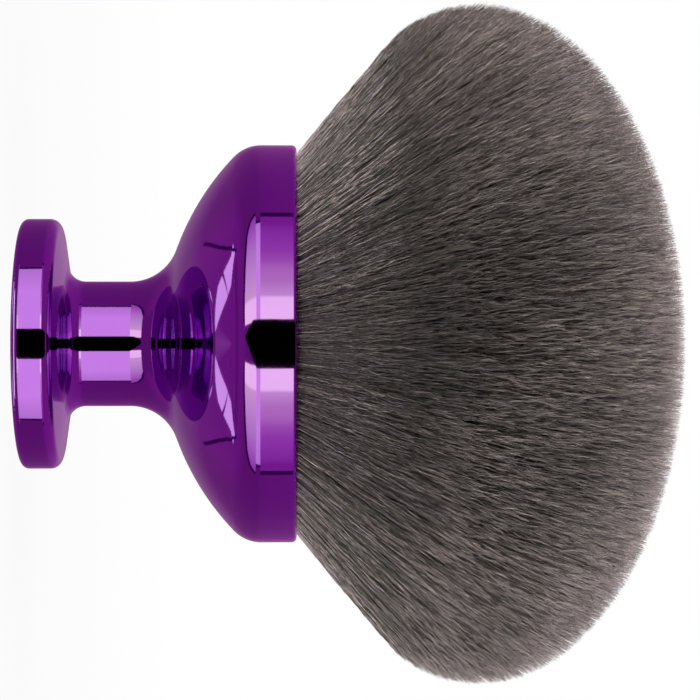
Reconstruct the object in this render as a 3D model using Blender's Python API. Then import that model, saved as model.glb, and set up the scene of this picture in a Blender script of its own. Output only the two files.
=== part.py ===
"""Body makeup brush: a spool-shaped handle with a flared head of bristles.

The brush stands on its end flange. The origin is the centre of the flange's flat face
and +Z runs along the brush axis towards the bristle tips. Nothing on it moves.
"""

import math

import bmesh
import bpy
from mathutils import Matrix, Vector

MM = 0.001

# Fits and cuts
CLEARANCE = 0.3 * MM

# Flange at the end of the handle
FLANGE_RADIUS = 15.7 * MM
FLANGE_RIM_HEIGHT = 2.65 * MM
FLANGE_END_ROUNDING = 0.9 * MM
FLANGE_INNER_ROUNDING = 1.4 * MM
FLANGE_FACE_ANGLE = math.radians(81)
FLANGE_NECK_FILLET = 2.3 * MM

# Neck between flange and bell
NECK_RADIUS = 7.85 * MM
NECK_LENGTH = 5.55 * MM
BORE_RADIUS = 5.2 * MM

# Bell that opens from the neck to the band round the bristles
BELL_FILLET = 6.2 * MM
BELL_STEEP_ANGLE = math.radians(68.8)
BELL_STEEP_LENGTH = 0.9 * MM
BELL_SHALLOW_ANGLE = math.radians(46.2)
BELL_SHOULDER_ROUNDING = 3.0 * MM
BELL_RADIUS = 25.0 * MM
BELL_WALL = 1.2 * MM
BAND_HEIGHT = 4.5 * MM
MOUTH_ROUNDING = 1.0 * MM
MOUTH_LEAD_WIDTH = 0.15 * MM
MOUTH_LEAD_DEPTH = 1.0 * MM

# Boss inside the bell that carries the bristle cup
BOSS_WALL = 2.2 * MM
BOSS_MOAT_WIDTH = 3.2 * MM

# End cover, set in a recess of the flange
COVER_RADIUS = 12.3 * MM
COVER_THICKNESS = 0.9 * MM
COVER_SETBACK = 0.1 * MM
COVER_EDGE_ROUNDING = 0.25 * MM
COVER_ADHESIVE_THICKNESS = 0.4 * MM
COVER_ADHESIVE_MARGIN = 0.8 * MM

# Counterweight in the neck, and the foam plug that holds it down
WEIGHT_LENGTH = 14.0 * MM
WEIGHT_CHAMFER = 0.6 * MM
PLUG_LENGTH = 3.0 * MM

# Drawn cup that holds the bristles
CUP_WALL = 0.6 * MM
CUP_DEPTH = 9.2 * MM
CUP_RIM_SETBACK = 1.4 * MM
CUP_ADHESIVE_THICKNESS = 0.6 * MM

# Resin in which the bristle roots are potted
POTTING_SETBACK = 2.5 * MM
ROOT_DEPTH = 1.2 * MM
ROOT_MARGIN = 0.65 * MM

# Head outline: a straight flare, a round shoulder and a flattened dome
HEAD_RADIUS = 42.4 * MM
HEAD_FLARE_RISE = 13.8 * MM
HEAD_SHOULDER_RISE = 8.9 * MM
HEAD_SHOULDER_WIDTH = 2.75 * MM
HEAD_DOME_RISE = 25.2 * MM
HEAD_WIDEST_SHARE = 0.88
HEAD_SPREAD_POWER = 1.15

# Bristle strands
RING_COUNT = 11
CORE_RING_COUNT = 4
SECTOR_COUNT = 6
STRAND_SIDES = 3
STRAND_ROOT_RADIUS = 0.58 * MM
STRAND_BELLY_RADIUS = 2.4 * MM
STRAND_OUTER_BELLY_RADIUS = 1.1 * MM
STRAND_CROWDED_RING_COUNT = 4
STRAND_BELLY_SHARE = 0.96
STRAND_FIRST_SHARE = 0.3
STRAND_SHIFT_SHARE = 0.4
STRAND_SHIFT_STEP_SHARE = 0.618

# Fineness of the turned surfaces
TURN_STEPS = 60
SMALL_TURN_STEPS = 28
SECTOR_STEPS = 6
ARC_STEPS = 5
BELL_ARC_STEPS = 8
SHARP_ANGLE = math.radians(32)

# Heights worked out from the sizes above, all measured from the end face
RECESS_DEPTH = (
    COVER_SETBACK + COVER_THICKNESS + CLEARANCE + COVER_ADHESIVE_THICKNESS + CLEARANCE
)
RECESS_RADIUS = COVER_RADIUS + CLEARANCE
BOSS_RADIUS = BORE_RADIUS + BOSS_WALL


def clear_scene():
    """Remove every object that the file opened with."""
    for item in list(bpy.data.objects):
        bpy.data.objects.remove(item, do_unlink=True)


def linear(channel):
    """One sRGB channel from 0 to 1 as linear light."""
    if channel <= 0.04045:
        return channel / 12.92
    return ((channel + 0.055) / 1.055) ** 2.4


def make_material(name, colour, roughness, metallic=0.0):
    """A plain shaded material from an sRGB colour of 0 to 255."""
    material = bpy.data.materials.new(name)
    material.use_nodes = True
    shader = material.node_tree.nodes["Principled BSDF"]
    rgb = [linear(value / 255) for value in colour]
    shader.inputs["Base Color"].default_value = (*rgb, 1)
    shader.inputs["Roughness"].default_value = roughness
    shader.inputs["Metallic"].default_value = metallic
    material.diffuse_color = (*rgb, 1)
    return material


def turn_arc(start, angle_from, angle_to, radius, steps=ARC_STEPS):
    """Points of an arc that leaves start at one slope and ends at another.

    A point is (radius, height). A slope is measured from the axis direction, positive
    where the outline grows wider, and the arc's own start point is left out.
    """
    side = 1 if angle_to > angle_from else -1
    centre_r = start[0] + side * radius * math.cos(angle_from)
    centre_z = start[1] - side * radius * math.sin(angle_from)
    points = []
    for step in range(1, steps + 1):
        angle = angle_from + (angle_to - angle_from) * step / steps
        r = centre_r - side * radius * math.cos(angle)
        z = centre_z + side * radius * math.sin(angle)
        points.append((r, z))
    return points


def along(start, angle, length):
    """The point a straight length away from start, at a slope from the axis."""
    return (start[0] + length * math.sin(angle), start[1] + length * math.cos(angle))


def flange_outline():
    """The handle's outside from the edge of its end face up to the top of the neck."""
    rim_bottom = (FLANGE_RADIUS, FLANGE_END_ROUNDING)
    points = [(FLANGE_RADIUS - FLANGE_END_ROUNDING, 0)]
    points += turn_arc(points[0], math.pi / 2, 0, FLANGE_END_ROUNDING)
    points.append((rim_bottom[0], rim_bottom[1] + FLANGE_RIM_HEIGHT))
    points += turn_arc(points[-1], 0, -FLANGE_FACE_ANGLE, FLANGE_INNER_ROUNDING)
    fillet_rise = FLANGE_NECK_FILLET * (1 - math.cos(FLANGE_FACE_ANGLE))
    face_drop = points[-1][0] - NECK_RADIUS - fillet_rise
    face_length = face_drop / math.sin(FLANGE_FACE_ANGLE)
    points.append(along(points[-1], -FLANGE_FACE_ANGLE, face_length))
    points += turn_arc(points[-1], -FLANGE_FACE_ANGLE, 0, FLANGE_NECK_FILLET)
    points.append((NECK_RADIUS, points[-1][1] + NECK_LENGTH))
    return points


def bell_outline(inset):
    """The bell from the neck to the top of its band, as (radius, height) points.

    An inset of zero gives the outside. A larger one gives the face that lies that far
    inside it, so that the wall, the cup and the resin all follow one curve.
    """
    start = flange_outline()[-1]
    fillet_end = turn_arc(start, 0, BELL_STEEP_ANGLE, BELL_FILLET)[-1]
    arc_start = along(fillet_end, BELL_STEEP_ANGLE, BELL_STEEP_LENGTH)
    shoulder_width = BELL_SHOULDER_ROUNDING * (1 - math.cos(BELL_SHALLOW_ANGLE))
    arc_width = BELL_RADIUS - arc_start[0] - shoulder_width
    arc_radius = arc_width / (math.cos(BELL_SHALLOW_ANGLE) - math.cos(BELL_STEEP_ANGLE))
    points = [(start[0] - inset, start[1])]
    points += turn_arc(points[0], 0, BELL_STEEP_ANGLE, BELL_FILLET + inset)
    points.append(along(points[-1], BELL_STEEP_ANGLE, BELL_STEEP_LENGTH))
    points += turn_arc(
        points[-1],
        BELL_STEEP_ANGLE,
        BELL_SHALLOW_ANGLE,
        arc_radius - inset,
        BELL_ARC_STEPS,
    )
    band_radius = BELL_RADIUS - inset
    if BELL_SHOULDER_ROUNDING > inset:
        rounding = BELL_SHOULDER_ROUNDING - inset
        points += turn_arc(points[-1], BELL_SHALLOW_ANGLE, 0, rounding)
    points = [(min(r, band_radius), z) for r, z in points]
    points.append((band_radius, mouth_height()))
    return points


def mouth_height():
    """Height of the bell's mouth above the end face."""
    start = flange_outline()[-1]
    fillet_end = turn_arc(start, 0, BELL_STEEP_ANGLE, BELL_FILLET)[-1]
    arc_start = along(fillet_end, BELL_STEEP_ANGLE, BELL_STEEP_LENGTH)
    shoulder_width = BELL_SHOULDER_ROUNDING * (1 - math.cos(BELL_SHALLOW_ANGLE))
    arc_width = BELL_RADIUS - arc_start[0] - shoulder_width
    arc_radius = arc_width / (math.cos(BELL_SHALLOW_ANGLE) - math.cos(BELL_STEEP_ANGLE))
    arc_rise = arc_radius * (math.sin(BELL_STEEP_ANGLE) - math.sin(BELL_SHALLOW_ANGLE))
    shoulder_rise = BELL_SHOULDER_ROUNDING * math.sin(BELL_SHALLOW_ANGLE)
    shoulder_top = arc_start[1] + arc_rise + shoulder_rise
    return shoulder_top + BAND_HEIGHT + MOUTH_ROUNDING


def above(points, height):
    """The part of a rising outline above a height, with a new point at that height."""
    kept = []
    for low, high in zip(points, points[1:]):
        if high[1] <= height:
            continue
        if low[1] < height:
            share = (height - low[1]) / (high[1] - low[1])
            kept.append((low[0] + (high[0] - low[0]) * share, height))
        elif not kept:
            kept.append(low)
        kept.append(high)
    return kept


def thinned(points, stride):
    """An outline with only its two ends and every few points between them."""
    return [points[0], *points[stride:-2:stride], *points[-2:]]


def height_at(points, radius):
    """Height at which a widening outline reaches a radius."""
    for low, high in zip(points, points[1:]):
        if low[0] <= radius <= high[0] and high[0] > low[0]:
            share = (radius - low[0]) / (high[0] - low[0])
            return low[1] + (high[1] - low[1]) * share
    raise ValueError("the outline never reaches this radius")


def finish(mesh, name, material, parent):
    """Turn an edited mesh into a named, smooth shaded object."""
    bmesh.ops.recalc_face_normals(mesh, faces=mesh.faces)
    data = bpy.data.meshes.new(name)
    mesh.to_mesh(data)
    mesh.free()
    data.materials.append(material)
    data.shade_smooth()
    data.set_sharp_from_angle(angle=SHARP_ANGLE)
    return place(data, name, parent)


def place(data, name, parent, turn=0.0):
    """Add an object for a mesh, turned about the brush axis."""
    item = bpy.data.objects.new(name, data)
    item.rotation_euler = (0, 0, turn)
    item.parent = parent
    bpy.context.scene.collection.objects.link(item)
    return item


def spin_outline(points, steps, angle=2 * math.pi, start=0.0):
    """Spin an outline of (radius, height) points about the axis.

    An outline that starts and ends on the axis closes there. Any other is a loop, whose
    ends are joined, and a spin of less than a full turn is capped.
    """
    mesh = bmesh.new()
    turn = Matrix.Rotation(start, 3, "Z")
    dots = [mesh.verts.new(turn @ Vector((r, 0, z))) for r, z in points]
    edges = [mesh.edges.new(pair) for pair in zip(dots, dots[1:])]
    on_axis = points[0][0] == 0 and points[-1][0] == 0
    if not on_axis:
        edges.append(mesh.edges.new((dots[-1], dots[0])))
    full = angle >= 2 * math.pi
    bmesh.ops.spin(
        mesh,
        geom=dots + edges,
        cent=(0, 0, 0),
        axis=(0, 0, 1),
        dvec=(0, 0, 0),
        angle=angle,
        steps=steps,
        use_merge=full,
    )
    if on_axis:
        middle = [dot for dot in mesh.verts if dot.co.xy.length < CLEARANCE / 100]
        bmesh.ops.remove_doubles(mesh, verts=middle, dist=CLEARANCE / 100)
    if not full:
        bmesh.ops.holes_fill(mesh, edges=mesh.edges, sides=0)
    return mesh


def make_handle_shell(material, parent):
    """The one-piece moulding: flange, neck and bell, hollow from end to end."""
    top = mouth_height()
    inner = thinned(bell_outline(BELL_WALL), 2)
    moat_floor = height_at(inner, BOSS_RADIUS + BOSS_MOAT_WIDTH)
    lead_radius = BELL_RADIUS - BELL_WALL
    outside = flange_outline() + bell_outline(0)[1:-1]
    outside.append((BELL_RADIUS, top - MOUTH_ROUNDING))
    outside += turn_arc(outside[-1], 0, -math.pi / 2, MOUTH_ROUNDING)
    inside = [
        (lead_radius + MOUTH_LEAD_WIDTH, top),
        (lead_radius, top - MOUTH_LEAD_DEPTH),
    ]
    inside += reversed(above(inner, moat_floor)[:-1])
    inside += [
        (BOSS_RADIUS, moat_floor),
        (BOSS_RADIUS, boss_top()),
        (BORE_RADIUS, boss_top()),
        (BORE_RADIUS, RECESS_DEPTH),
        (RECESS_RADIUS, RECESS_DEPTH),
        (RECESS_RADIUS, 0),
    ]
    shell = spin_outline(without_twins(outside + inside), TURN_STEPS)
    return finish(shell, "handle_shell", material, parent)


def without_twins(points):
    """The same outline with points that sit on their neighbour left out."""
    kept = [points[0]]
    for point in points[1:]:
        if math.dist(point, kept[-1]) > CLEARANCE / 30:
            kept.append(point)
    return kept


def cup_rim():
    """Height of the bristle cup's rim, a little inside the mouth."""
    return mouth_height() - CUP_RIM_SETBACK


def cup_floor():
    """Height of the underside of the bristle cup."""
    return cup_rim() - CUP_DEPTH


def boss_top():
    """Height of the boss, which leaves room for the adhesive under the cup."""
    return cup_floor() - 2 * CLEARANCE - CUP_ADHESIVE_THICKNESS


def potting_top():
    """Height of the resin that holds the roots."""
    return cup_rim() - POTTING_SETBACK


def disc(name, radius, bottom, top, edge, steps, material, parent):
    """A solid round piece with the same small bevel on both of its edges."""
    outline = [
        (0, bottom),
        (radius - edge, bottom),
        (radius, bottom + edge),
        (radius, top - edge),
        (radius - edge, top),
        (0, top),
    ]
    return finish(spin_outline(outline, steps), name, material, parent)


def make_end_pieces(cover_material, adhesive_material, parent):
    """The cover in the end face, and the adhesive pad behind it."""
    cover_top = COVER_SETBACK + COVER_THICKNESS
    disc(
        "end_cover",
        COVER_RADIUS,
        COVER_SETBACK,
        cover_top,
        COVER_EDGE_ROUNDING,
        TURN_STEPS,
        cover_material,
        parent,
    )
    pad_bottom = cover_top + CLEARANCE
    disc(
        "end_cover_adhesive",
        COVER_RADIUS - COVER_ADHESIVE_MARGIN,
        pad_bottom,
        pad_bottom + COVER_ADHESIVE_THICKNESS,
        COVER_ADHESIVE_THICKNESS / 4,
        SMALL_TURN_STEPS,
        adhesive_material,
        parent,
    )


def make_neck_pieces(steel, foam, parent):
    """The counterweight in the neck's bore and the plug on top of it."""
    weight_radius = BORE_RADIUS - CLEARANCE
    weight_top = RECESS_DEPTH + WEIGHT_LENGTH
    disc(
        "counterweight",
        weight_radius,
        RECESS_DEPTH,
        weight_top,
        WEIGHT_CHAMFER,
        SMALL_TURN_STEPS,
        steel,
        parent,
    )
    plug_bottom = weight_top + CLEARANCE
    disc(
        "weight_retaining_plug",
        weight_radius,
        plug_bottom,
        plug_bottom + PLUG_LENGTH,
        WEIGHT_CHAMFER / 2,
        SMALL_TURN_STEPS,
        foam,
        parent,
    )


def make_cup(metal, adhesive_material, parent):
    """The cup that the bristles are potted in, and the ring of adhesive under it."""
    floor = cup_floor()
    outer_inset = BELL_WALL + CLEARANCE
    outside = above(thinned(bell_outline(outer_inset), 2), floor)
    inside = above(thinned(bell_outline(outer_inset + CUP_WALL), 2), floor + CUP_WALL)
    outside[-1] = (outside[-1][0], cup_rim())
    inside[-1] = (inside[-1][0], cup_rim())
    outline = [(0, floor), *outside, *reversed(inside), (0, floor + CUP_WALL)]
    cup = spin_outline(without_twins(outline), TURN_STEPS)
    finish(cup, "bristle_cup", metal, parent)
    ring_top = floor - CLEARANCE
    ring_bottom = ring_top - CUP_ADHESIVE_THICKNESS
    ring = [
        (BORE_RADIUS + CLEARANCE, ring_bottom),
        (BOSS_RADIUS - CLEARANCE, ring_bottom),
        (BOSS_RADIUS - CLEARANCE, ring_top),
        (BORE_RADIUS + CLEARANCE, ring_top),
    ]
    finish(spin_outline(ring, SMALL_TURN_STEPS), "cup_adhesive", adhesive_material, parent)


def resin_outline():
    """The side of the potted resin, which follows the inside of the cup."""
    inset = BELL_WALL + CLEARANCE + CUP_WALL + CLEARANCE
    bottom = cup_floor() + CUP_WALL + CLEARANCE
    side = above(thinned(bell_outline(inset), 4), bottom)
    side[-1] = (side[-1][0], potting_top())
    return side


def ring_pitch():
    """Distance between two rings of strands where they leave the resin."""
    return (resin_outline()[-1][0] - ROOT_MARGIN) / RING_COUNT


def tip_of(share):
    """Where a strand of a given share of the head's radius ends, as (radius, height)."""
    widest = mouth_height() + HEAD_FLARE_RISE + HEAD_SHOULDER_RISE
    if share <= HEAD_WIDEST_SHARE:
        spread = (share / HEAD_WIDEST_SHARE) ** HEAD_SPREAD_POWER
        angle = math.pi / 2 * (1 - spread)
        r = HEAD_RADIUS * math.cos(angle)
        return r, widest + HEAD_DOME_RISE * math.sin(angle)
    drop = math.pi / 2 * (share - HEAD_WIDEST_SHARE) / (1 - HEAD_WIDEST_SHARE)
    r = HEAD_RADIUS - HEAD_SHOULDER_WIDTH * (1 - math.cos(drop))
    return r, widest - HEAD_SHOULDER_RISE * math.sin(drop)


def belly_radius(ring):
    """Radius of a strand near its tip, less in the outer rings, which the flare crowds."""
    free_rings = RING_COUNT - STRAND_CROWDED_RING_COUNT
    crowding = max(0, ring - free_rings) / STRAND_CROWDED_RING_COUNT
    return STRAND_BELLY_RADIUS + (STRAND_OUTER_BELLY_RADIUS - STRAND_BELLY_RADIUS) * crowding


def add_strand(mesh, ring, azimuth):
    """One three-sided strand, straight through the mouth and then flared to its tip."""
    root_r = ring * ring_pitch()
    tip_r, tip_z = tip_of(ring / RING_COUNT)
    bend_z = mouth_height() - MOUTH_ROUNDING / 2
    belly_r = root_r + (tip_r - root_r) * STRAND_BELLY_SHARE
    belly_z = bend_z + (tip_z - bend_z) * STRAND_BELLY_SHARE
    lean = math.atan2(tip_r - root_r, tip_z - bend_z)
    turn = Matrix.Rotation(azimuth, 4, "Z")
    stations = (
        (root_r, potting_top() - ROOT_DEPTH, 0, STRAND_ROOT_RADIUS),
        (root_r, bend_z, 0, STRAND_ROOT_RADIUS),
        (belly_r, belly_z, lean, belly_radius(ring)),
    )
    first_r, first_z, _, first_size = stations[0]
    place_first = turn @ Matrix.Translation((first_r, 0, first_z))
    made = bmesh.ops.create_circle(
        mesh,
        cap_ends=True,
        segments=STRAND_SIDES,
        radius=first_size,
        matrix=place_first,
    )
    face = made["verts"][0].link_faces[0]
    here = place_first
    size = first_size
    for r, z, tilt, next_size in stations[1:]:
        there = turn @ Matrix.Translation((r, 0, z)) @ Matrix.Rotation(tilt, 4, "Y")
        there = there @ Matrix.Scale(next_size / size, 4)
        grown = bmesh.ops.extrude_face_region(mesh, geom=[face])["geom"]
        if here is not place_first:
            bmesh.ops.delete(mesh, geom=[face], context="FACES_ONLY")
        dots = [item for item in grown if isinstance(item, bmesh.types.BMVert)]
        face = [item for item in grown if isinstance(item, bmesh.types.BMFace)][0]
        bmesh.ops.transform(mesh, matrix=there @ here.inverted(), verts=dots)
        here = there
        size = next_size
    tip = bmesh.ops.poke(mesh, faces=[face])["verts"][0]
    tip.co = turn @ Vector((tip_r, 0, tip_z))


def make_strands(name, rings, sector_angle, material, parent):
    """A hidden mesh of all the strands that one slice of resin holds.

    A ring has six strands more than the one inside it. Each ring starts at its own
    share of a step, so that no gap lines up from ring to ring.
    """
    mesh = bmesh.new()
    for ring in rings:
        step = 2 * math.pi / max(1, SECTOR_COUNT * ring)
        shift = STRAND_SHIFT_SHARE * (ring * STRAND_SHIFT_STEP_SHARE % 1)
        for index in range(max(1, round(sector_angle / step))):
            add_strand(mesh, ring, (index + STRAND_FIRST_SHARE + shift) * step)
    return as_helper(finish(mesh, name, material, parent))


def as_helper(item):
    """Mark an object that only shapes another one."""
    item.hide_render = True
    item.display_type = "WIRE"
    return item


def fuse(item, strands):
    """Join the strands to their slice of resin."""
    union = item.modifiers.new("strands", "BOOLEAN")
    union.operation = "UNION"
    union.solver = "EXACT"
    union.object = strands


def make_bristles(material, parent):
    """The knot of bristles: a round core and the sectors that surround it."""
    side = resin_outline()
    bottom, top = side[0][1], side[-1][1]
    edge = (CORE_RING_COUNT + 0.5) * ring_pitch()
    core_radius = edge - CLEARANCE / 2
    core_outline = [(0, bottom), (core_radius, bottom), (core_radius, top), (0, top)]
    core = finish(
        spin_outline(core_outline, SMALL_TURN_STEPS), "bristle_core", material, parent
    )
    core_rings = range(CORE_RING_COUNT + 1)
    fuse(core, make_strands("core_strands", core_rings, 2 * math.pi, material, parent))

    inner_radius = edge + CLEARANCE / 2
    sector_angle = 2 * math.pi / SECTOR_COUNT
    gap_angle = CLEARANCE / inner_radius
    loop = [(inner_radius, bottom), *side, (inner_radius, top)]
    slice_mesh = spin_outline(
        without_twins(loop), SECTOR_STEPS, sector_angle - gap_angle, gap_angle / 2
    )
    first = finish(slice_mesh, "bristle_sector_1", material, parent)
    rings = range(CORE_RING_COUNT + 1, RING_COUNT + 1)
    strands = make_strands("sector_strands_1", rings, sector_angle, material, parent)
    fuse(first, strands)
    for index in range(1, SECTOR_COUNT):
        turn = index * sector_angle
        number = index + 1
        copy = place(first.data, f"bristle_sector_{number}", parent, turn)
        helper = place(strands.data, f"sector_strands_{number}", parent, turn)
        fuse(copy, as_helper(helper))


def main():
    clear_scene()
    brush = bpy.data.objects.new("body_brush", None)
    bpy.context.scene.collection.objects.link(brush)

    plated = make_material("purple plated ABS", (140, 45, 165), 0.12, 1.0)
    cover = make_material("purple plated end disc", (128, 40, 150), 0.15, 1.0)
    clear_pad = make_material("clear acrylic adhesive", (214, 210, 196), 0.4)
    steel = make_material("zinc plated steel", (172, 174, 176), 0.35, 1.0)
    foam = make_material("grey EVA foam", (92, 92, 95), 0.9)
    aluminium = make_material("drawn aluminium", (190, 190, 194), 0.3, 1.0)
    glue = make_material("cream hot melt adhesive", (222, 208, 170), 0.45)
    bristle = make_material("taupe grey PBT bristle", (104, 96, 93), 0.5)

    make_handle_shell(plated, brush)
    make_end_pieces(cover, clear_pad, brush)
    make_neck_pieces(steel, foam, brush)
    make_cup(aluminium, glue, brush)
    make_bristles(bristle, brush)


if __name__ == "__main__":
    main()
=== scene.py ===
"""Body makeup brush: the looks of a plated spool handle and its flared bristle head.

The brush stands on its end flange, with its axis along +Z and the bristle tips up.
Every length below is in metres.
"""

import math

import bmesh
import bpy
import numpy as np
from bpy.props import (
    FloatProperty,
    FloatVectorProperty,
    IntProperty,
    PointerProperty,
)
from mathutils import Matrix, Vector
from mathutils.kdtree import KDTree


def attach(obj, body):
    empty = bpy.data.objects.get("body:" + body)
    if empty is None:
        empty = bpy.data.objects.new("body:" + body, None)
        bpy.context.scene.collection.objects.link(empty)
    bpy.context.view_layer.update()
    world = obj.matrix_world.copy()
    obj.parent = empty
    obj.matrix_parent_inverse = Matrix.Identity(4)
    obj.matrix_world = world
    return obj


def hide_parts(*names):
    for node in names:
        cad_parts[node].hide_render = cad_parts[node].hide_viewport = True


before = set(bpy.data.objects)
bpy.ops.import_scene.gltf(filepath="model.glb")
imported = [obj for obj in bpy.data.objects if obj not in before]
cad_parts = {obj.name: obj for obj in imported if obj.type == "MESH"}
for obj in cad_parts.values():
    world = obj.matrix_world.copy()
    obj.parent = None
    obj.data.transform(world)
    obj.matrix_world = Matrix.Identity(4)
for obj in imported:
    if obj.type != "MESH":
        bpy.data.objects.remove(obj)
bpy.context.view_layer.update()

bl_info = {
    "name": "Body makeup brush",
    "version": (1, 0, 0),
    "blender": (4, 5, 0),
    "location": "View3D > Sidebar > Body brush",
    "description": "Builds the plated handle, the bristle head and the studio",
    "category": "Object",
}

MM = 0.001
SECTOR_COUNT = 6

# An outline's points nearer than this are one, and so are points this near the axis.
TWIN_GAP = 0.005 * MM
AXIS_GAP = 0.001 * MM
# Faces of a turned piece that meet at more than this keep a sharp edge.
SHARP_ANGLE = math.radians(34)
# Nearly all of a noise lies between these values.
NOISE_LOW, NOISE_HIGH = 0.3, 0.7

# Strands rooted within this share of the mouth's radius bow in full, and others less.
FULL_BOW_SHARE = 0.7
# A few strands lean further off, by a share of the mouth's radius, and their tips stand
# out by up to this many tip scatters.
STRAY_SHARE = 0.03
STRAY_LEAN = 0.03
STRAY_TRIM = 2.2
OWN_LEAN = 0.004
PULL_SPREAD = (0.4, 1.4)
# A strand's waves grow to their full height over the first third of its run.
WAVE_GROWTH = 3
CLUMP_WAVE_SHARE = 0.8
CLUMP_WAVE_SPREAD = (0.8, 1.6)
OWN_WAVE_SPREAD = (0.5, 1.0)
# Thickness along a strand, from 0 at the mouth to 1 at its tip.
THICKNESS_SPREAD = (0.8, 1.2)
TAPER_PLACES = (0, 0.7, 0.92, 1.0)
TAPER_THICKNESS = (1.0, 0.95, 0.65, 0.12)
# Strands that end early do so anywhere beyond this share of their run.
EARLIEST_STOP = 0.3
DOME_LENGTH_SPREAD = (0.9, 1.1)
# Tone of a clump and of each strand in it, and the step from one side of it to the next.
CLUMP_TONE_SPREAD = 0.08
STRAND_TONE_SPREAD = 0.11
SIDE_TONE_STEP = 0.0008
# The dense mass's wall follows the strands at its edge up to this share of their run.
# From there its top rises to its full depth within this share of the mouth's radius.
MASS_WALL_SHARE = 0.7
MASS_RISE_SHARE = 0.15
# Facets round the dense mass.
MASS_STEPS = 144
# The streaks' ring has a radius of 1, and the mass about 38 mm.
MASS_RADIUS_MM = 38
STREAK_PITCH_MM = 0.3


def size(name, millimetres, description):
    """A length that the user can change, given in millimetres."""
    return FloatProperty(
        name=name,
        description=description,
        default=millimetres * MM,
        min=0,
        precision=5,
        subtype="DISTANCE",
        unit="LENGTH",
    )


def share(name, value, description):
    """A share from 0 to 1 that the user can change."""
    return FloatProperty(
        name=name,
        description=description,
        default=value,
        min=0,
        max=1,
        subtype="FACTOR",
    )


def turn(name, degrees, description):
    """An angle that the user can change, given in degrees."""
    return FloatProperty(
        name=name,
        description=description,
        default=math.radians(degrees),
        subtype="ANGLE",
        unit="ROTATION",
    )


def number(name, value, description):
    """A whole number that the user can change."""
    return IntProperty(name=name, description=description, default=value, min=1)


def ink(name, value, description):
    """A colour that the user can change, given as sRGB hex."""
    return FloatVectorProperty(
        name=name,
        description=description,
        default=linear(value)[:3],
        min=0,
        max=1,
        subtype="COLOR",
    )


def linear(value):
    """An sRGB hex colour as linear red, green, blue and alpha."""
    channels = [int(value[at : at + 2], 16) / 255 for at in (1, 3, 5)]
    lit = [c / 12.92 if c <= 0.04045 else ((c + 0.055) / 1.055) ** 2.4 for c in channels]
    return (*lit, 1.0)


class HandleSizes(bpy.types.PropertyGroup):
    """Sizes of the plated moulding and the cover in its end."""

    flange_radius: size("Flange radius", 15.7, "Outer radius of the end flange")
    rim_height: size("Flange rim", 2.65, "Straight height of the flange's rim")
    end_rounding: size("End rounding", 0.9, "Rounding of the flange's end edge")
    inner_rounding: size("Inner rounding", 1.4, "Rounding of the flange's neck side")
    face_angle: turn("Flange face", 81, "Slope of the flange's inner face")
    flange_fillet: size("Flange fillet", 2.3, "Fillet where the flange meets the neck")
    neck_radius: size("Neck radius", 7.85, "Radius of the neck")
    neck_length: size("Neck length", 5.55, "Straight length of the neck")
    bell_fillet: size("Bell fillet", 6.2, "Fillet where the neck opens into the bell")
    steep_angle: turn("Steep slope", 68.8, "Slope of the bell next to the neck")
    steep_length: size("Steep length", 0.9, "Straight length at the steep slope")
    shallow_angle: turn("Shallow slope", 46.2, "Slope of the bell next to its band")
    shoulder: size("Shoulder", 4.8, "Rounding between the bell and its band")
    bell_radius: size("Bell radius", 25.0, "Radius of the band round the mouth")
    wall: size("Wall", 1.2, "Thickness of the moulding")
    total_height: size("Total height", 34.4, "Height of the mouth's edge")
    mouth_rounding: size("Mouth rounding", 0.6, "Rounding of the mouth's edge")
    lead_width: size("Lead width", 0.15, "Width of the bevel inside the mouth")
    lead_depth: size("Lead depth", 1.0, "Depth of the bevel inside the mouth")
    bore_radius: size("Bore radius", 5.2, "Radius of the bore through the neck")
    boss_wall: size("Boss wall", 2.2, "Wall of the boss inside the bell")
    moat_width: size("Moat width", 3.2, "Gap between the boss and the bell")
    boss_drop: size("Boss drop", 11.8, "Depth of the boss below the mouth")
    recess_radius: size("Recess radius", 12.6, "Radius of the recess in the end face")
    recess_depth: size("Recess depth", 2.0, "Depth of the recess in the end face")
    cover_radius: size("Cover radius", 12.3, "Radius of the end cover")
    cover_thickness: size("Cover thickness", 0.9, "Thickness of the end cover")
    cover_setback: size("Cover setback", 0.1, "How far the cover sits in its recess")
    cover_rounding: size("Cover rounding", 0.25, "Rounding of the cover's edges")
    turn_steps: number("Turn steps", 288, "Facets round every turned surface")
    arc_steps: number("Arc steps", 14, "Facets along every rounded edge")


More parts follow.
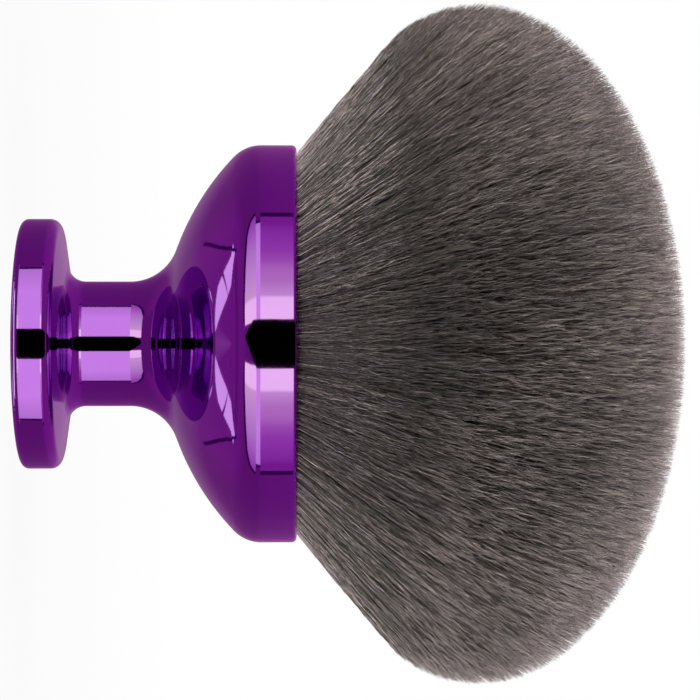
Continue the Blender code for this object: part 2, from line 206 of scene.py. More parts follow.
class BristleSizes(bpy.types.PropertyGroup):
    """Sizes of the bristle head and of its strands."""

    root_height: size("Root height", 32.2, "Height at which the strands start")
    root_share: share("Root share", 0.948, "Radius at the root against the mouth")
    mouth_radius: size("Mouth radius", 23.85, "Radius of the knot in the mouth")
    mouth_height: size("Mouth height", 34.4, "Height at which the strands flare")
    head_radius: size("Head radius", 42.6, "Greatest radius of the head")
    widest_rise: size("Widest rise", 22.86, "Height from the mouth to the widest part")
    round_rise: size("Round rise", 12.7, "Height radius of the head's rounded side")
    round_width: size("Round width", 9.2, "Width radius of the head's rounded side")
    round_start: turn("Round start", 32, "Foot of the rounded side")
    dome_rise: size("Dome rise", 25.6, "Height of the dome over the widest part")
    bend_share: share("Bend", 0.2, "How far an inner strand bows outwards")
    outer_bend: share("Outer bend", 0.0, "How far an outer strand bows outwards")
    outer_share: share("Outer share", 0.9, "Root share beyond which strands show from the mouth")
    outer_count: number("Outer strands", 17000, "Strands that show from the mouth on")
    outer_points: number("Outer points", 8, "Points along an outer strand past the mouth")
    short_share: share("Short share", 0.45, "Share of outer strands that end early")
    dome_share: share("Dome share", 0.92, "Root share that the dome strands fill")
    dome_count: number("Dome strands", 50000, "Strands that show only at the dome")
    core_share: share("Core share", 0.4, "Root share that the knot's core holds")
    dome_points: number("Dome points", 4, "Points along a dome strand")
    dome_length: size("Dome length", 6, "About how much of a dome strand is made")
    strand_radius: size("Strand radius", 0.08, "Radius of a strand")
    clump_pitch: size("Clump pitch", 0.22, "Distance between clumps at the mouth")
    clump_pull: share("Clump pull", 0.34, "How far a tip moves to its clump's middle")
    clump_lean: size("Clump lean", 0.42, "How far a clump leans off its place")
    wave_length: size("Wave length", 5, "Length of a strand's wave")
    wave_height: size("Wave height", 0.15, "Height of a strand's wave")
    tip_scatter: size("Tip scatter", 0.08, "How unevenly the tips are trimmed")
    clump_step: size("Clump step", 0.13, "How much shorter some clumps are")
    patch_length: size("Patch length", 30, "Length over which the dye drifts")
    patch_strength: share("Patch strength", 0.06, "How much the dye drifts")
    ground_depth: size("Ground depth", 3.5, "Depth of the dense mass under the dome")
    ground_inset: share("Ground inset", 0.84, "Root share that the dense mass fills")
    seed: number("Seed", 7, "Start of the random numbers")


class FinishColours(bpy.types.PropertyGroup):
    """Colours of the handle and its end cover."""

    plating: ink("Plating", "#AD47CC", "Violet tint of the plated moulding")
    plating_deep: ink("Plating, deep", "#A23DC6", "Tint where the lacquer is thicker")
    cover: ink("End cover", "#A146C6", "Tint of the cover in the end face")


class StudioSettings(bpy.types.PropertyGroup):
    """Camera, floor and reflected cards."""

    lens: FloatProperty(name="Lens", description="Focal length in mm", default=123.2)
    camera_distance: size("Camera distance", 302.8, "From the axis to the camera")
    camera_height: size("Camera height", 31.1, "Height of the camera")
    aim_height: size("Aim height", 41.2, "Height at the middle of the picture")
    aim_side: size("Aim side", 0.78, "Side offset at the middle of the picture")
    floor_radius: size("Floor radius", 3000, "Radius of the floor")
    tent_radius: size("Tent radius", 620, "Radius at which the reflected cards stand")


class BrushSettings(bpy.types.PropertyGroup):
    """All the settings of the brush."""

    handle: PointerProperty(type=HandleSizes)
    bristles: PointerProperty(type=BristleSizes)
    colours: PointerProperty(type=FinishColours)
    studio: PointerProperty(type=StudioSettings)


# Materials


def add_node(tree, kind, values=None, links=None, **settings):
    """Add a shader node with its settings, its socket values and its links."""
    node = tree.nodes.new(kind)
    for name, value in settings.items():
        setattr(node, name, value)
    for socket, value in (values or {}).items():
        node.inputs[socket].default_value = value
    for socket, source in (links or {}).items():
        tree.links.new(source, node.inputs[socket])
    return node


def new_material(name):
    """An empty node material, with its output node."""
    material = bpy.data.materials.new(name)
    material.use_nodes = True
    tree = material.node_tree
    tree.nodes.clear()
    return material, tree, tree.nodes.new("ShaderNodeOutputMaterial")


def set_stops(ramp, stops):
    """Give a colour ramp its stops, as pairs of a place and a colour."""
    elements = ramp.color_ramp.elements
    while len(elements) > 1:
        elements.remove(elements[-1])
    for at, (place, colour) in enumerate(stops):
        stop = elements[0] if at == 0 else elements.new(place)
        stop.position = place
        stop.color = colour if len(colour) == 4 else (*colour, 1.0)
    return ramp


def per_metre(millimetres):
    """Noise scale whose blobs are about this many millimetres apart."""
    return 1000 / millimetres


def plated_abs(name, tint, deep_tint, roughness):
    """Moulded ABS, vacuum plated and dipped in violet lacquer.

    A mirror with a violet tint. The lacquer gathers a little, so the tint drifts over
    10 to 20 mm, and it dries with a very faint orange peel about 2 mm across.
    """
    material, tree, output = new_material(name)
    place = add_node(tree, "ShaderNodeTexCoord").outputs["Object"]
    drift = add_node(
        tree, "ShaderNodeTexNoise", {"Scale": per_metre(14), "Detail": 2}, {"Vector": place}
    )
    tints = add_node(
        tree,
        "ShaderNodeMix",
        {6: (*deep_tint, 1), 7: (*tint, 1)},
        {0: drift.outputs["Fac"]},
        data_type="RGBA",
    )
    haze = add_node(
        tree, "ShaderNodeTexNoise", {"Scale": per_metre(5), "Detail": 4}, {"Vector": place}
    )
    gloss = add_node(
        tree,
        "ShaderNodeMapRange",
        {
            "From Min": NOISE_LOW,
            "From Max": NOISE_HIGH,
            "To Min": roughness * 0.8,
            "To Max": roughness * 1.3,
        },
        {"Value": haze.outputs["Fac"]},
    )
    peel = add_node(
        tree, "ShaderNodeTexNoise", {"Scale": per_metre(2.2), "Detail": 1}, {"Vector": place}
    )
    relief = add_node(
        tree,
        "ShaderNodeBump",
        {"Strength": 0.25, "Distance": 0.006 * MM},
        {"Height": peel.outputs["Fac"]},
    )
    shader = add_node(
        tree,
        "ShaderNodeBsdfPrincipled",
        {"Metallic": 1.0, "Coat Weight": 1.0, "Coat Roughness": 0.03, "Coat IOR": 1.5},
        {
            "Base Color": tints.outputs[2],
            "Roughness": gloss.outputs["Result"],
            "Normal": relief.outputs["Normal"],
        },
    )
    tree.links.new(shader.outputs["BSDF"], output.inputs["Surface"])
    return material


def grained(name, light, dark, grain, roughness, depth, values):
    """A plain material with a fine mottle, a matching bump and its own gloss."""
    material, tree, output = new_material(name)
    place = add_node(tree, "ShaderNodeTexCoord").outputs["Object"]
    mottle = add_node(
        tree, "ShaderNodeTexNoise", {"Scale": per_metre(grain), "Detail": 4}, {"Vector": place}
    )
    tint = set_stops(
        add_node(tree, "ShaderNodeValToRGB", links={"Fac": mottle.outputs["Fac"]}),
        [(0.35, linear(dark)), (0.65, linear(light))],
    )
    gloss = add_node(
        tree,
        "ShaderNodeMapRange",
        {
            "From Min": NOISE_LOW,
            "From Max": NOISE_HIGH,
            "To Min": roughness * 0.85,
            "To Max": roughness * 1.15,
        },
        {"Value": mottle.outputs["Fac"]},
    )
    relief = add_node(
        tree,
        "ShaderNodeBump",
        {"Strength": 0.4, "Distance": depth * MM},
        {"Height": mottle.outputs["Fac"]},
    )
    shader = add_node(
        tree,
        "ShaderNodeBsdfPrincipled",
        values,
        {
            "Base Color": tint.outputs["Color"],
            "Roughness": gloss.outputs["Result"],
            "Normal": relief.outputs["Normal"],
        },
    )
    tree.links.new(shader.outputs["BSDF"], output.inputs["Surface"])
    return material


def drawn_aluminium():
    """Aluminium sheet drawn into a cup: silver, with rings from the punch every 0.4 mm."""
    material, tree, output = new_material("drawn_aluminium")
    place = add_node(tree, "ShaderNodeTexCoord").outputs["Object"]
    squeeze = add_node(
        tree,
        "ShaderNodeMapping",
        {"Scale": (0.05, 0.05, 1.0)},
        {"Vector": place},
    )
    rings = add_node(
        tree,
        "ShaderNodeTexNoise",
        {"Scale": per_metre(0.4), "Detail": 2},
        {"Vector": squeeze.outputs["Vector"]},
    )
    tint = set_stops(
        add_node(tree, "ShaderNodeValToRGB", links={"Fac": rings.outputs["Fac"]}),
        [(0.3, linear("#A9AAAE")), (0.7, linear("#C6C7CB"))],
    )
    shader = add_node(
        tree,
        "ShaderNodeBsdfPrincipled",
        {"Metallic": 1.0, "Roughness": 0.3},
        {"Base Color": tint.outputs["Color"]},
    )
    tree.links.new(shader.outputs["BSDF"], output.inputs["Surface"])
    return material


def pbt_bristle():
    """Drawn PBT filament, wavy and tapered, dyed in mixed taupe greys.

    Each strand has its own tone, read from its map. Along its run the colour is painted
    lighter and violet at the mouth, a painted reflection of the plated handle, darkest at
    four fifths of the run, and paler towards its thinned tip, a painted glow of light
    through the thin tip. Painted glints, painted highlights, brighten and darken it where
    its waves would turn to the light.
    """
    material, tree, output = new_material("pbt_bristle")
    strand = add_node(tree, "ShaderNodeUVMap", uv_map="strand")
    parts = add_node(tree, "ShaderNodeSeparateXYZ", links={"Vector": strand.outputs["UV"]})
    dye = set_stops(
        add_node(tree, "ShaderNodeValToRGB", links={"Fac": parts.outputs["X"]}),
        [
            (0.00, linear("#3A3432")),
            (0.18, linear("#544C49")),
            (0.32, linear("#6B605B")),
            (0.45, linear("#766F73")),
            (0.55, linear("#7F7672")),
            (0.68, linear("#91867F")),
            (0.82, linear("#A69B96")),
            (1.00, linear("#C4BAB4")),
        ],
    )
    # Painted light along the run: lighter and violet at the mouth as a painted reflection of the
    # handle, and pale at the tip as a painted glow of light through it.
    painted_mouth_and_tip_light = set_stops(
        add_node(tree, "ShaderNodeValToRGB", links={"Fac": parts.outputs["Y"]}),
        [
            (0.0, (0.84, 0.78, 0.84)),
            (0.12, (0.72, 0.685, 0.71)),
            (0.65, (0.7, 0.665, 0.69)),
            (0.8, (0.66, 0.63, 0.65)),
            (0.9, (0.73, 0.7, 0.72)),
            (0.97, (0.85, 0.82, 0.84)),
            (1.0, (1.0, 0.97, 0.99)),
        ],
    )
    tint = add_node(
        tree,
        "ShaderNodeMix",
        {0: 1.0},
        {6: dye.outputs["Color"], 7: painted_mouth_and_tip_light.outputs["Color"]},
        data_type="RGBA",
        blend_type="MULTIPLY",
    )
    # Painted glints: a noise along the strand brightens and darkens its colour as painted
    # highlights where its waves would turn to the light. A strand is 19 mm long at the rim
    # and 48 mm in the middle, so 22 waves make a glint every 0.9 to 2.2 mm along it. Tones
    # times 400 lie so far apart in the noise that the glints of two strands don't line up.
    waves = add_node(
        tree,
        "ShaderNodeVectorMath",
        {1: (400, 22, 0)},
        {0: strand.outputs["UV"]},
        operation="MULTIPLY",
    )
    painted_glint_spots = add_node(
        tree,
        "ShaderNodeTexNoise",
        {"Scale": 1, "Detail": 1},
        {"Vector": waves.outputs["Vector"]},
    )
    painted_glint = add_node(
        tree,
        "ShaderNodeMapRange",
        {"From Min": NOISE_LOW, "From Max": NOISE_HIGH, "To Min": 0.3, "To Max": 1.75},
        {"Value": painted_glint_spots.outputs["Fac"]},
    )
    tint_with_painted_glints = add_node(
        tree,
        "ShaderNodeMix",
        {0: 1.0},
        {6: tint.outputs[2], 7: painted_glint.outputs["Result"]},
        data_type="RGBA",
        blend_type="MULTIPLY",
    )
    shader = add_node(
        tree,
        "ShaderNodeBsdfPrincipled",
        {"Roughness": 0.42, "IOR": 1.5, "Specular IOR Level": 0.5},
        {"Base Color": tint_with_painted_glints.outputs[2]},
    )
    tree.links.new(shader.outputs["BSDF"], output.inputs["Surface"])
    return material


def bristle_mass():
    """The same filament packed densely, painted near black as the shade among the packed
    strands, in streaks 0.3 mm apart.
    """
    material, tree, output = new_material("packed_bristle_painted_shade")
    place = add_node(tree, "ShaderNodeTexCoord").outputs["Object"]
    flat = add_node(
        tree,
        "ShaderNodeVectorMath",
        {1: (1, 1, 0)},
        {0: place},
        operation="MULTIPLY",
    )
    ring = add_node(
        tree, "ShaderNodeVectorMath", links={0: flat.outputs["Vector"]}, operation="NORMALIZE"
    )
    lift = add_node(
        tree,
        "ShaderNodeVectorMath",
        {1: (0, 0, 2.0)},
        {0: place},
        operation="MULTIPLY",
    )
    lines = add_node(
        tree,
        "ShaderNodeVectorMath",
        links={0: ring.outputs["Vector"], 1: lift.outputs["Vector"]},
        operation="ADD",
    )
    painted_shade_streaks = add_node(
        tree,
        "ShaderNodeTexNoise",
        {"Scale": MASS_RADIUS_MM / STREAK_PITCH_MM, "Detail": 2},
        {"Vector": lines.outputs["Vector"]},
    )
    # Painted shade: both stops lie far below the strands' dye, for the shade deep among packed
    # strands, and the darker streaks are painted gaps of shade.
    tint = set_stops(
        add_node(tree, "ShaderNodeValToRGB", links={"Fac": painted_shade_streaks.outputs["Fac"]}),
        [(0.35, linear("#1D1A19")), (0.7, linear("#453E3C"))],
    )
    shader = add_node(
        tree,
        "ShaderNodeBsdfPrincipled",
        {"Roughness": 0.7},
        {"Base Color": tint.outputs["Color"]},
    )
    tree.links.new(shader.outputs["BSDF"], output.inputs["Surface"])
    return material


# Turned pieces


def arc(start, slope_from, slope_to, radius, steps):
    """Points of an arc that leaves start at one slope and ends at another.

    A point is (radius, height). A slope is measured from the axis direction and is
    positive where the outline grows wider.
    """
    side = 1 if slope_to > slope_from else -1
    centre_r = start[0] + side * radius * math.cos(slope_from)
    centre_z = start[1] - side * radius * math.sin(slope_from)
    points = []
    for step in range(1, steps + 1):
        angle = slope_from + (slope_to - slope_from) * step / steps
        r = centre_r - side * radius * math.cos(angle)
        z = centre_z + side * radius * math.sin(angle)
        points.append((r, z))
    return points


def along(start, slope, length):
    """The point a straight length away from start, at a slope from the axis."""
    return (start[0] + length * math.sin(slope), start[1] + length * math.cos(slope))


def flange_outline(handle):
    """The outside from the edge of the end face up to the top of the neck."""
    steps = handle.arc_steps
    points = [(handle.flange_radius - handle.end_rounding, 0)]
    points += arc(points[0], math.pi / 2, 0, handle.end_rounding, steps)
    points.append((handle.flange_radius, handle.end_rounding + handle.rim_height))
    points += arc(points[-1], 0, -handle.face_angle, handle.inner_rounding, steps)
    fillet_rise = handle.flange_fillet * (1 - math.cos(handle.face_angle))
    drop = points[-1][0] - handle.neck_radius - fillet_rise
    points.append(along(points[-1], -handle.face_angle, drop / math.sin(handle.face_angle)))
    points += arc(points[-1], -handle.face_angle, 0, handle.flange_fillet, steps)
    points.append((handle.neck_radius, points[-1][1] + handle.neck_length))
    return points


def bell_outline(handle, inset):
    """The bell from the neck to the bottom of its band, set in from the outside."""
    steps = handle.arc_steps * 2
    start = flange_outline(handle)[-1]
    points = [(start[0] - inset, start[1])]
    points += arc(points[0], 0, handle.steep_angle, handle.bell_fillet + inset, steps)
    points.append(along(points[-1], handle.steep_angle, handle.steep_length))
    shoulder_width = handle.shoulder * (1 - math.cos(handle.shallow_angle))
    width = handle.bell_radius - inset - points[-1][0]
    if inset:
        width += inset * (1 - math.cos(handle.shallow_angle))
    width -= shoulder_width
    radius = width / (math.cos(handle.shallow_angle) - math.cos(handle.steep_angle))
    points += arc(points[-1], handle.steep_angle, handle.shallow_angle, radius, steps)
    points += arc(points[-1], handle.shallow_angle, 0, handle.shoulder - inset, steps)
    return points


def without_twins(points):
    """The same outline with points that sit on their neighbour left out."""
    kept = [points[0]]
    for point in points[1:]:
        if math.dist(point, kept[-1]) > TWIN_GAP:
            kept.append(point)
    return kept


def handle_outline(handle):
    """The whole loop of the moulding, outside and inside."""
    outside = flange_outline(handle) + bell_outline(handle, 0)[1:]
    outside.append((handle.bell_radius, handle.total_height - handle.mouth_rounding))
    outside += arc(outside[-1], 0, -math.pi / 2, handle.mouth_rounding, handle.arc_steps)
    top = outside[-1][1]
    lead = handle.bell_radius - handle.wall
    boss = handle.bore_radius + handle.boss_wall
    boss_top = top - handle.boss_drop
    inner = [p for p in bell_outline(handle, handle.wall) if p[0] > boss + handle.moat_width]
    inside = [(lead + handle.lead_width, top), (lead, top - handle.lead_depth)]
    inside += reversed([(min(r, lead), z) for r, z in inner])
    inside += [
        (boss, inside[-1][1]),
        (boss, boss_top),
        (handle.bore_radius, boss_top),
        (handle.bore_radius, handle.recess_depth),
        (handle.recess_radius, handle.recess_depth),
        (handle.recess_radius, 0),
    ]
    return without_twins(outside + inside)


def spin(points, steps):
    """Spin an outline of (radius, height) points a full turn about the axis."""
    mesh = bmesh.new()
    dots = [mesh.verts.new((r, 0, z)) for r, z in points]
    edges = [mesh.edges.new(pair) for pair in zip(dots, dots[1:])]
    on_axis = points[0][0] == 0 and points[-1][0] == 0
    if not on_axis:
        edges.append(mesh.edges.new((dots[-1], dots[0])))
    bmesh.ops.spin(
        mesh,
        geom=dots + edges,
        cent=(0, 0, 0),
        axis=(0, 0, 1),
        dvec=(0, 0, 0),
        angle=2 * math.pi,
        steps=steps,
        use_merge=True,
    )
    if on_axis:
        middle = [dot for dot in mesh.verts if dot.co.xy.length < AXIS_GAP]
        bmesh.ops.remove_doubles(mesh, verts=middle, dist=AXIS_GAP)
    bmesh.ops.recalc_face_normals(mesh, faces=mesh.faces)
    return mesh


def finish(mesh, name, material, slot, *nodes):
    """Turn an edited mesh into a smooth shaded piece that stands for CAD nodes."""
    data = bpy.data.meshes.new(name)
    mesh.to_mesh(data)
    mesh.free()
    data.shade_smooth()
    data.set_sharp_from_angle(angle=SHARP_ANGLE)
    show(data, name, material, slot, *nodes)


def show(data, name, material, slot, *nodes):
    """Add a mesh to the brush under a name and a material; the finish slot is not used."""
    data.materials.clear()
    data.materials.append(material)
    piece = bpy.data.objects.new(name, data)
    bpy.context.scene.collection.objects.link(piece)
    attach(piece, "root")
    if nodes:
        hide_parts(*nodes)


class BRUSH_OT_handle(bpy.types.Operator):
    """Turn the plated moulding: flange, neck, bell and band."""

    bl_idname = "brush.handle"
    bl_label = "Handle"

    def execute(self, context):
        settings = context.scene.body_brush
        handle, colours = settings.handle, settings.colours
        plating = plated_abs(
            "violet_plated_moulded_abs", colours.plating, colours.plating_deep, 0.05
        )
        mesh = spin(handle_outline(handle), handle.turn_steps)
        finish(mesh, "handle_moulding", plating, "plated_abs", "handle_shell")
        return {"FINISHED"}


class BRUSH_OT_end_cover(bpy.types.Operator):
    """Turn the disc that closes the end face."""

    bl_idname = "brush.end_cover"
    bl_label = "End cover"

    def execute(self, context):
        settings = context.scene.body_brush
        handle, colours = settings.handle, settings.colours
        plating = plated_abs("violet_plated_disc", colours.cover, colours.cover, 0.12)
        bottom = handle.cover_setback
        top = bottom + handle.cover_thickness
        edge, radius = handle.cover_rounding, handle.cover_radius
        points = [(0, bottom), (radius - edge, bottom)]
        points += arc(points[-1], math.pi / 2, 0, edge, 6)
        points.append((radius, top - edge))
        points += arc(points[-1], 0, -math.pi / 2, edge, 6)
        points.append((0, top))
        mesh = spin(without_twins(points), handle.turn_steps // 2)
        finish(mesh, "end_disc", plating, "cover", "end_cover")
        return {"FINISHED"}


class BRUSH_OT_inner_pieces(bpy.types.Operator):
    """Give the pieces inside the handle the finish of what they are made of."""

    bl_idname = "brush.inner_pieces"
    bl_label = "Inner pieces"

    def execute(self, context):
        # Acrylic foam tape: a milky, slightly tacky pad.
        pad = grained(
            "acrylic_adhesive_pad", "#DAD6C8", "#C8C3B2", 1.5, 0.4, 0.02, {"IOR": 1.47}
        )
        # Zinc plated turned steel: cool grey, dull, with a faint crystalline mottle.
        steel = grained(
            "zinc_plated_steel", "#B4B6B9", "#9DA0A4", 0.8, 0.35, 0.01, {"Metallic": 1.0}
        )
        # Closed cell EVA foam: matt dark grey with cells about 0.3 mm across.
        foam = grained("eva_foam", "#646468", "#4B4B4F", 0.3, 0.9, 0.08, {"IOR": 1.48})
        # Hot melt adhesive: cream, waxy, with soft lumps.
        glue = grained(
            "hot_melt_adhesive", "#E2D4B0", "#D3C296", 2.5, 0.45, 0.06, {"IOR": 1.48}
        )
        finishes = {
            "end_cover_adhesive": pad,
            "counterweight": steel,
            "weight_retaining_plug": foam,
            "bristle_cup": drawn_aluminium(),
            "cup_adhesive": glue,
        }
        for node, material in finishes.items():
            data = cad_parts[node].data
            data.materials.clear()
            data.materials.append(material)
        return {"FINISHED"}


# Bristles


def head_outline(sizes):
    """The surface that tips end on, as radii, heights and the root shares of the tips.

    It runs from the top of the dome over the widest part to the foot of the rounded
    side. A tip takes the same area everywhere, so a root share is the root of an area.
    """
    widest = sizes.mouth_height + sizes.widest_rise
    points = []
    for angle in np.linspace(math.pi / 2, 0, 60):
        r, z = sizes.head_radius * math.cos(angle), widest + sizes.dome_rise * math.sin(angle)
        points.append((r, z))
    for angle in np.linspace(math.pi / 2, sizes.round_start, 20)[1:]:
        r = sizes.head_radius - sizes.round_width * (1 - math.sin(angle))
        points.append((r, widest - sizes.round_rise * math.cos(angle)))
    radius, height = np.array(points).T
    bands = np.hypot(np.diff(radius), np.diff(height)) * (radius[1:] + radius[:-1])
    area = np.concatenate([[0], np.cumsum(bands)])
    return radius, height, np.sqrt(area / area[-1])


def strand_line(sizes, shares, progress):
    """Radius, height and length of strands, from the mouth at 0 to the tip at 1."""
    radius, height, tips = head_outline(sizes)
    tip_r, tip_z = np.interp(shares, tips, radius), np.interp(shares, tips, height)
    root_r, root_z = sizes.mouth_radius * shares, sizes.mouth_height
    reach_r, reach_z = tip_r - root_r, tip_z - root_z
    length = np.hypot(reach_r, reach_z)
    chord = np.arctan2(reach_r, reach_z)
    bend = chord * np.interp(shares, [FULL_BOW_SHARE, 1.0], [sizes.bend_share, sizes.outer_bend])
    near_r = root_r + length / 3 * np.sin(chord + bend)
    near_z = root_z + length / 3 * np.cos(chord + bend)
    far_r = tip_r - length / 3 * np.sin(chord - bend)
    far_z = tip_z - length / 3 * np.cos(chord - bend)
    t, s = progress, 1 - progress
    r = s**3 * root_r + 3 * s * s * t * near_r + 3 * s * t * t * far_r + t**3 * tip_r
    z = s**3 * root_z + 3 * s * s * t * near_z + 3 * s * t * t * far_z + t**3 * tip_z
    return r, z, length


def nearest_clump(sizes, places, rng, low, high):
    """Each strand's clump, as the clumps' own places and the strands' indices.

    Places are points in a disc of radius 1 that stands for the mouth.
    """
    area = math.pi * (high * high - low * low) * sizes.mouth_radius**2
    count = max(8, int(area / sizes.clump_pitch**2))
    spots = disc_points(rng, count, low, high)
    tree = KDTree(count)
    for index, spot in enumerate(spots):
        tree.insert((spot[0], spot[1], 0), index)
    tree.balance()
    index = np.array([tree.find((x, y, 0))[1] for x, y in places])
    return spots, index


def disc_points(rng, count, low, high):
    """Random points, evenly spread over a ring of the unit disc."""
    radius = np.sqrt(rng.uniform(low * low, high * high, count))
    angle = rng.uniform(0, 2 * math.pi, count)
    return np.stack([radius * np.cos(angle), radius * np.sin(angle)], axis=1)


def grow_strands(sizes, rng, places, low, high, start, stop, with_root, points):
    """Points, radii, runs and tones of strands that start at places in the unit disc.

    Start and stop are the shares of a strand's full run between which it is made.
    """
    count = len(places)
    spots, clump = nearest_clump(sizes, places, rng, low, high)
    lean = rng.normal(0, sizes.clump_lean / sizes.head_radius, spots.shape)
    stray = rng.random(count) < STRAY_SHARE
    target = spots[clump] + lean[clump]
    target += rng.normal(0, OWN_LEAN, places.shape)
    target[stray] += rng.normal(0, STRAY_LEAN, (stray.sum(), 2))
    pull = sizes.clump_pull * rng.uniform(*PULL_SPREAD, count)
    pull[stray] = 1.0

    steps = np.linspace(0, 1, points)
    own = np.linalg.norm(places, axis=1)
    length = strand_line(sizes, own, 1.0)[2]
    trim = rng.normal(0, sizes.tip_scatter, count)
    trim -= np.abs(rng.normal(0, sizes.clump_step, len(spots)))[clump]
    trim[stray] += rng.uniform(0, STRAY_TRIM, stray.sum()) * sizes.tip_scatter
    stop = stop * (1 + trim / length)
    t = start[:, None] + (stop - start)[:, None] * steps[None, :]
    drawn = (target - places)[:, None, :] * (pull[:, None] * t**2)[..., None]
    moved = places[:, None, :] + drawn
    shares = np.linalg.norm(moved, axis=2)
    shares = np.where(shares > 1, 2 - shares, shares)
    azimuth = np.arctan2(moved[..., 1], moved[..., 0])
    r, z, _ = strand_line(sizes, shares, t)

    run = length[:, None] * t
    grow = np.minimum(1, t * WAVE_GROWTH)
    waves = []
    for _ in range(2):
        clump_wave = sizes.wave_length * rng.uniform(*CLUMP_WAVE_SPREAD, len(spots))[clump]
        clump_phase = rng.uniform(0, 2 * math.pi, len(spots))[clump]
        own_wave = sizes.wave_length * rng.uniform(*OWN_WAVE_SPREAD, count)
        own_phase = rng.uniform(0, 2 * math.pi, count)
        wave = np.sin(2 * math.pi * run / clump_wave[:, None] + clump_phase[:, None])
        wave *= CLUMP_WAVE_SHARE
        wave += np.sin(2 * math.pi * run / own_wave[:, None] + own_phase[:, None])
        waves.append(sizes.wave_height * wave * grow)
    across = np.stack([-np.sin(azimuth), np.cos(azimuth)], axis=2)
    outward = np.stack([np.cos(azimuth), np.sin(azimuth)], axis=2)
    flat = outward * (r + waves[0])[..., None] + across * waves[1][..., None]
    line = np.concatenate([flat, z[..., None]], axis=2)

    near_tip = t / stop[:, None]
    thick = rng.uniform(*THICKNESS_SPREAD, count)[:, None] * np.ones((1, points))
    thick *= np.interp(near_tip, TAPER_PLACES, TAPER_THICKNESS)
    if with_root:
        root_r = sizes.mouth_radius * sizes.root_share * own
        angle = np.arctan2(places[:, 1], places[:, 0])
        root = np.stack(
            [root_r * np.cos(angle), root_r * np.sin(angle), np.full(count, sizes.root_height)],
            axis=1,
        )
        line = np.concatenate([root[:, None, :], line], axis=1)
        thick = np.concatenate([thick[:, :1], thick], axis=1)
        near_tip = np.concatenate([np.zeros((count, 1)), near_tip], axis=1)
    tone = rng.normal(0.5, CLUMP_TONE_SPREAD, len(spots))[clump]
    tone = tone + rng.normal(0, STRAND_TONE_SPREAD, count)
    tone += sizes.patch_strength * patches(sizes, line[:, -1])
    turned = rng.uniform(0, 2 * math.pi / 3, count)
    return line, thick, near_tip, np.clip(tone, 0.03, 0.97), turned


def patches(sizes, tips):
    """Slow drift of the dye over the head, from about -1 to 1, at the strands' tips."""
    x, y, z = (tips / sizes.patch_length * 2 * math.pi).T
    first = np.sin(x + 0.7 * z + 1.0) * np.sin(0.8 * y - 0.6 * z)
    second = np.sin(0.5 * x - 1.3 * y + 2.0) * np.sin(1.1 * z + 0.4 * x)
    return first + 0.6 * second


def bristle_mesh(name, sizes, line, thick, along_strand, tone, turned):
    """Three-sided tubes along the strands, each with its tone and its run mapped."""
    section = bpy.data.curves.new(name + "_section", "CURVE")
    section.dimensions = "2D"
    spline = section.splines.new("POLY")
    spline.points.add(2)
    for at, point in enumerate(spline.points):
        angle = 2 * math.pi * at / 3
        point.co = (
            sizes.strand_radius * math.cos(angle),
            sizes.strand_radius * math.sin(angle),
            0,
            1,
        )
    spline.use_cyclic_u = True
    section_object = bpy.data.objects.new(name + "_section", section)
    curve = bpy.data.curves.new(name, "CURVE")
    curve.dimensions = "3D"
    curve.bevel_mode = "OBJECT"
    curve.bevel_object = section_object
    count, points, _ = line.shape
    places = np.concatenate([line, np.ones((count, points, 1))], axis=2).astype(np.float32)
    for index in range(count):
        spline = curve.splines.new("POLY")
        spline.points.add(points - 1)
        spline.points.foreach_set("co", places[index].ravel())
        spline.points.foreach_set("radius", thick[index])
        spline.points.foreach_set("tilt", np.full(points, turned[index]))
    holder = bpy.data.objects.new(name, curve)
    bpy.context.scene.collection.objects.link(holder)
    graph = bpy.context.evaluated_depsgraph_get()
    data = bpy.data.meshes.new_from_object(holder.evaluated_get(graph))
    bpy.data.objects.remove(holder)
    bpy.data.objects.remove(section_object)
    bpy.data.curves.remove(curve)
    bpy.data.curves.remove(section)
    if len(data.vertices) != count * points * 3:
        raise RuntimeError(f"{name} has {len(data.vertices)} points, not {count * points * 3}")
    corners = np.empty(len(data.loops), np.int32)
    data.loops.foreach_get("vertex_index", corners)
    strand = corners // (3 * points)
    station = corners % (3 * points) // 3
    fine = (corners % 3) * SIDE_TONE_STEP
    spots = np.stack([tone[strand] + fine, along_strand[strand, station]], axis=1)
    while data.uv_layers:
        data.uv_layers.remove(data.uv_layers[0])
    for layer_name in ("strand", "OFBake"):
        layer = data.uv_layers.new(name=layer_name)
        layer.data.foreach_set("uv", spots.astype(np.float32).ravel())
    data.shade_smooth()
    data.name = name
    return data


def sector_of(places):
    """The sector, from 0, that each place in the unit disc lies in."""
    angle = np.arctan2(places[:, 1], places[:, 0]) % (2 * math.pi)
    return np.minimum((angle / (2 * math.pi) * SECTOR_COUNT).astype(int), SECTOR_COUNT - 1)


def show_sectors(name, sizes, grown, sectors, material):
    """Show grown strands as six numbered pieces, one for each sector of the knot."""
    for index in range(SECTOR_COUNT):
        chosen = sectors == index
        numbered = f"{name}_{index + 1}"
        data = bristle_mesh(numbered, sizes, *(part[chosen] for part in grown))
        show(data, numbered, material, "bristle", f"bristle_sector_{index + 1}")


